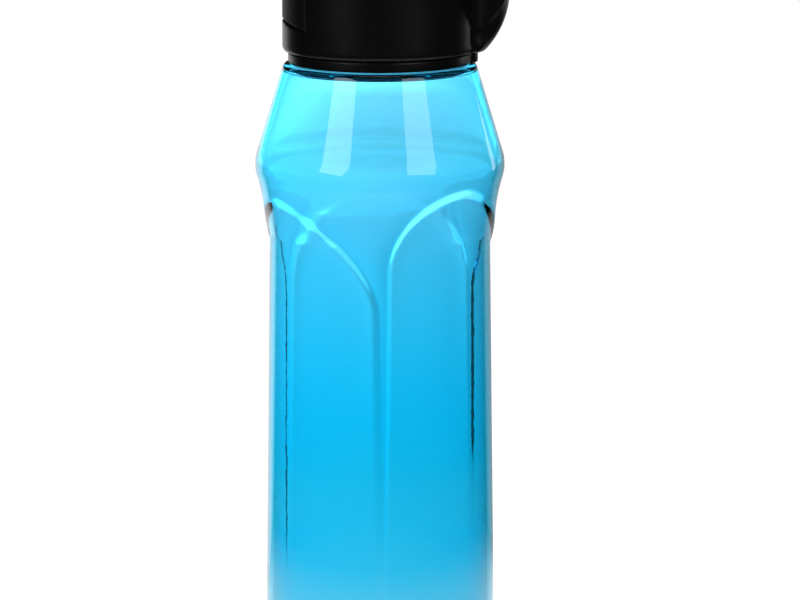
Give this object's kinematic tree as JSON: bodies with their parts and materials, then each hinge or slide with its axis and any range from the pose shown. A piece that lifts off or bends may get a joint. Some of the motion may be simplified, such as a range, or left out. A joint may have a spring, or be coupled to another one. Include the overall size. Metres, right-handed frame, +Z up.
{
  "type": "sports water bottle",
  "caption": "Clear blue blown bottle with grip panels and a black screw-on flip lid with a push button, a spout and a one-finger carry loop.",
  "frame": {"origin": "Centre of the base plane, on the axis of the bottle.", "axes": "+Z up along the bottle's axis, +X towards the carry loop, -X towards the release button, -Y towards the front grip rib."},
  "size_m": [0.0835, 0.082, 0.261],
  "materials": {
    "clear_body": "clear tinted copolyester, glossy",
    "black_lid": "satin moulded polypropylene",
    "black_button": "satin moulded polypropylene",
    "spout": "smooth moulded polypropylene",
    "seal": "translucent silicone",
    "steel": "stainless wire"
  },
  "bodies": {
    "bottle": {"bottle_body": "clear_body"},
    "seal_ring": {"neck_gasket": "seal"},
    "lid": {"screw_collar": "black_lid", "lid_shell": "black_lid", "spout": "spout", "spout_gasket": "seal", "vent_valve": "seal", "hinge_pin": "steel", "cover_spring": "steel", "button_pin": "steel", "button_springs": "steel"},
    "cover": {"flip_cover": "black_lid", "cover_seal": "seal"},
    "button": {"release_button": "black_button"}
  },
  "joints": [
    {"name": "lid_lift", "type": "slide", "parent": "bottle", "child": "seal_ring", "axis": [0, 0, 1], "range_m": [0, 0.00751]},
    {"name": "lid_turn", "type": "hinge", "parent": "seal_ring", "child": "lid", "pos_m": [0, 0, 0.222], "axis": [0, 0, 1], "range_deg": [0, 540]},
    {"name": "cover_open", "type": "hinge", "parent": "lid", "child": "cover", "pos_m": [0.009, 0, 0.2578], "axis": [0, 1, 0], "range_deg": [0, 110]},
    {"name": "button_press", "type": "hinge", "parent": "lid", "child": "button", "pos_m": [-0.0258, 0, 0.2302], "axis": [0, 1, 0], "range_deg": [0, 5], "stiffness_Nm_per_rad": 0.03, "springref_deg": -5.73, "deforming": ["button_springs"]}
  ],
  "couplings": [
    {"joint": "lid_lift", "follows": "lid_turn", "m_per_rad": 0.00079577}
  ]
}
